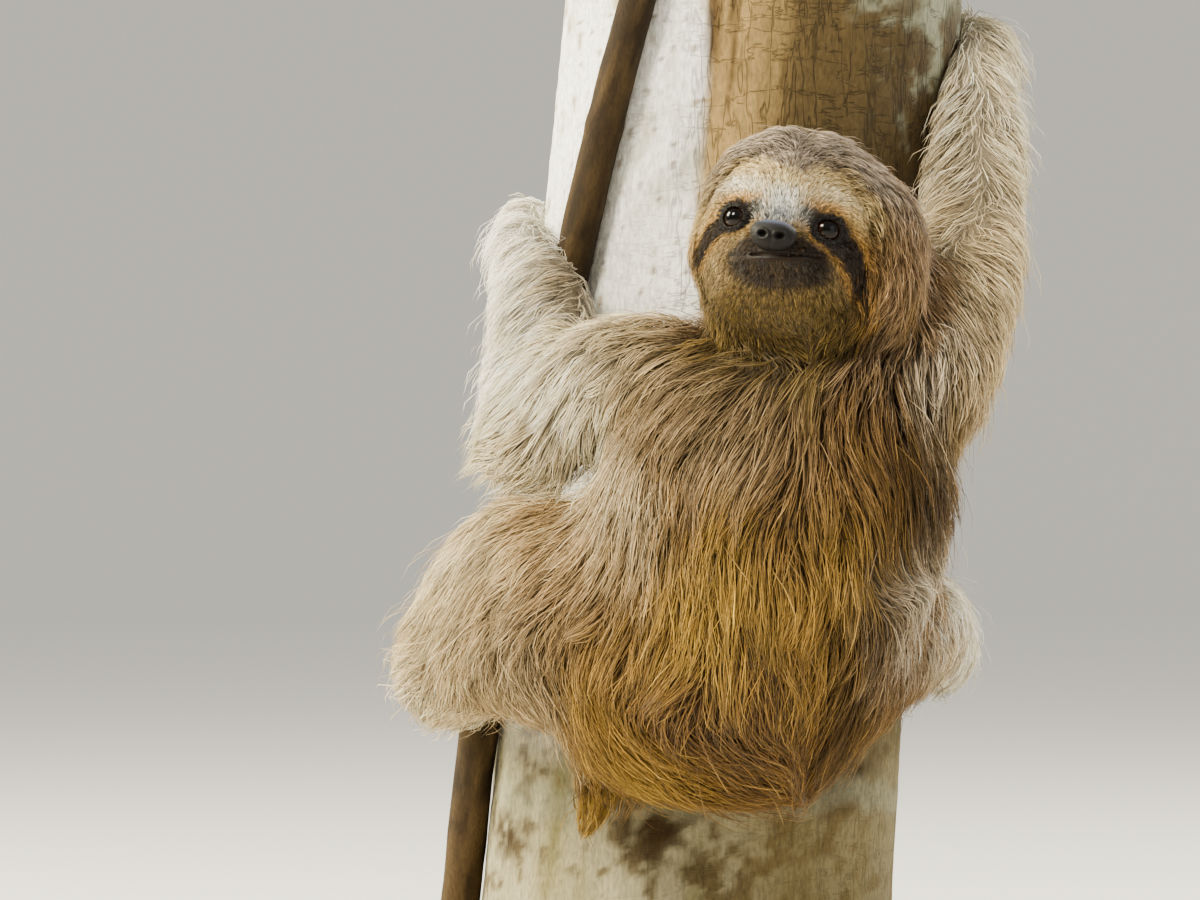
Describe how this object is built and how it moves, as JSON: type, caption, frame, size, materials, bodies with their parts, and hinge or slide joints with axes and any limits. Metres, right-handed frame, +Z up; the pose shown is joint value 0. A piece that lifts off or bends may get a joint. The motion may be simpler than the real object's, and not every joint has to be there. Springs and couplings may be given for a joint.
{
  "type": "three-toed sloth",
  "caption": "Brown-throated three-toed sloth as a still life-size model, hugging a cut length of trunk with a liana, head turned back over its shoulders, on a round stand.",
  "frame": {"origin": "centre of the stand's underside", "axes": "+Z up; the sloth's back and its turned face look towards -Y, the trunk is on its +Y side, and the animal's own left limbs are on the -X side"},
  "size_m": [0.4, 0.4, 0.64],
  "materials": {
    "back_coat": "long coarse fur",
    "limb_coat": "long coarse fur",
    "shank_coat": "long coarse fur",
    "face_coat": "short fur",
    "nose_skin": "satin bare skin",
    "eye": "wet gloss",
    "claw_horn": "satin horn",
    "bark": "rough bark with lichen",
    "liana_bark": "rough bark",
    "stand_board": "satin stained board",
    "stand_steel": "satin blackened steel"
  },
  "bodies": {
    "root": {"head": "face_coat", "neck": "back_coat", "torso": "back_coat", "tail": "back_coat", "upper_arm_left": "limb_coat", "upper_arm_right": "limb_coat", "forearm_left": "limb_coat", "forearm_right": "limb_coat", "hand_left": "limb_coat", "hand_right": "limb_coat", "thigh_left": "limb_coat", "thigh_right": "shank_coat", "shank_left": "shank_coat", "shank_right": "shank_coat", "foot_left": "shank_coat", "foot_right": "shank_coat", "claw_hand_left_1": "claw_horn", "claw_hand_left_2": "claw_horn", "claw_hand_left_3": "claw_horn", "claw_hand_right_1": "claw_horn", "claw_hand_right_2": "claw_horn", "claw_hand_right_3": "claw_horn", "claw_foot_left_1": "claw_horn", "claw_foot_left_2": "claw_horn", "claw_foot_left_3": "claw_horn", "claw_foot_right_1": "claw_horn", "claw_foot_right_2": "claw_horn", "claw_foot_right_3": "claw_horn", "eye_left": "eye", "eye_right": "eye", "nose": "nose_skin", "perch_trunk": "bark", "perch_liana": "liana_bark", "stand_base": "stand_board", "stand_rod_left": "stand_steel", "stand_rod_right": "stand_steel"}
  },
  "joints": []
}
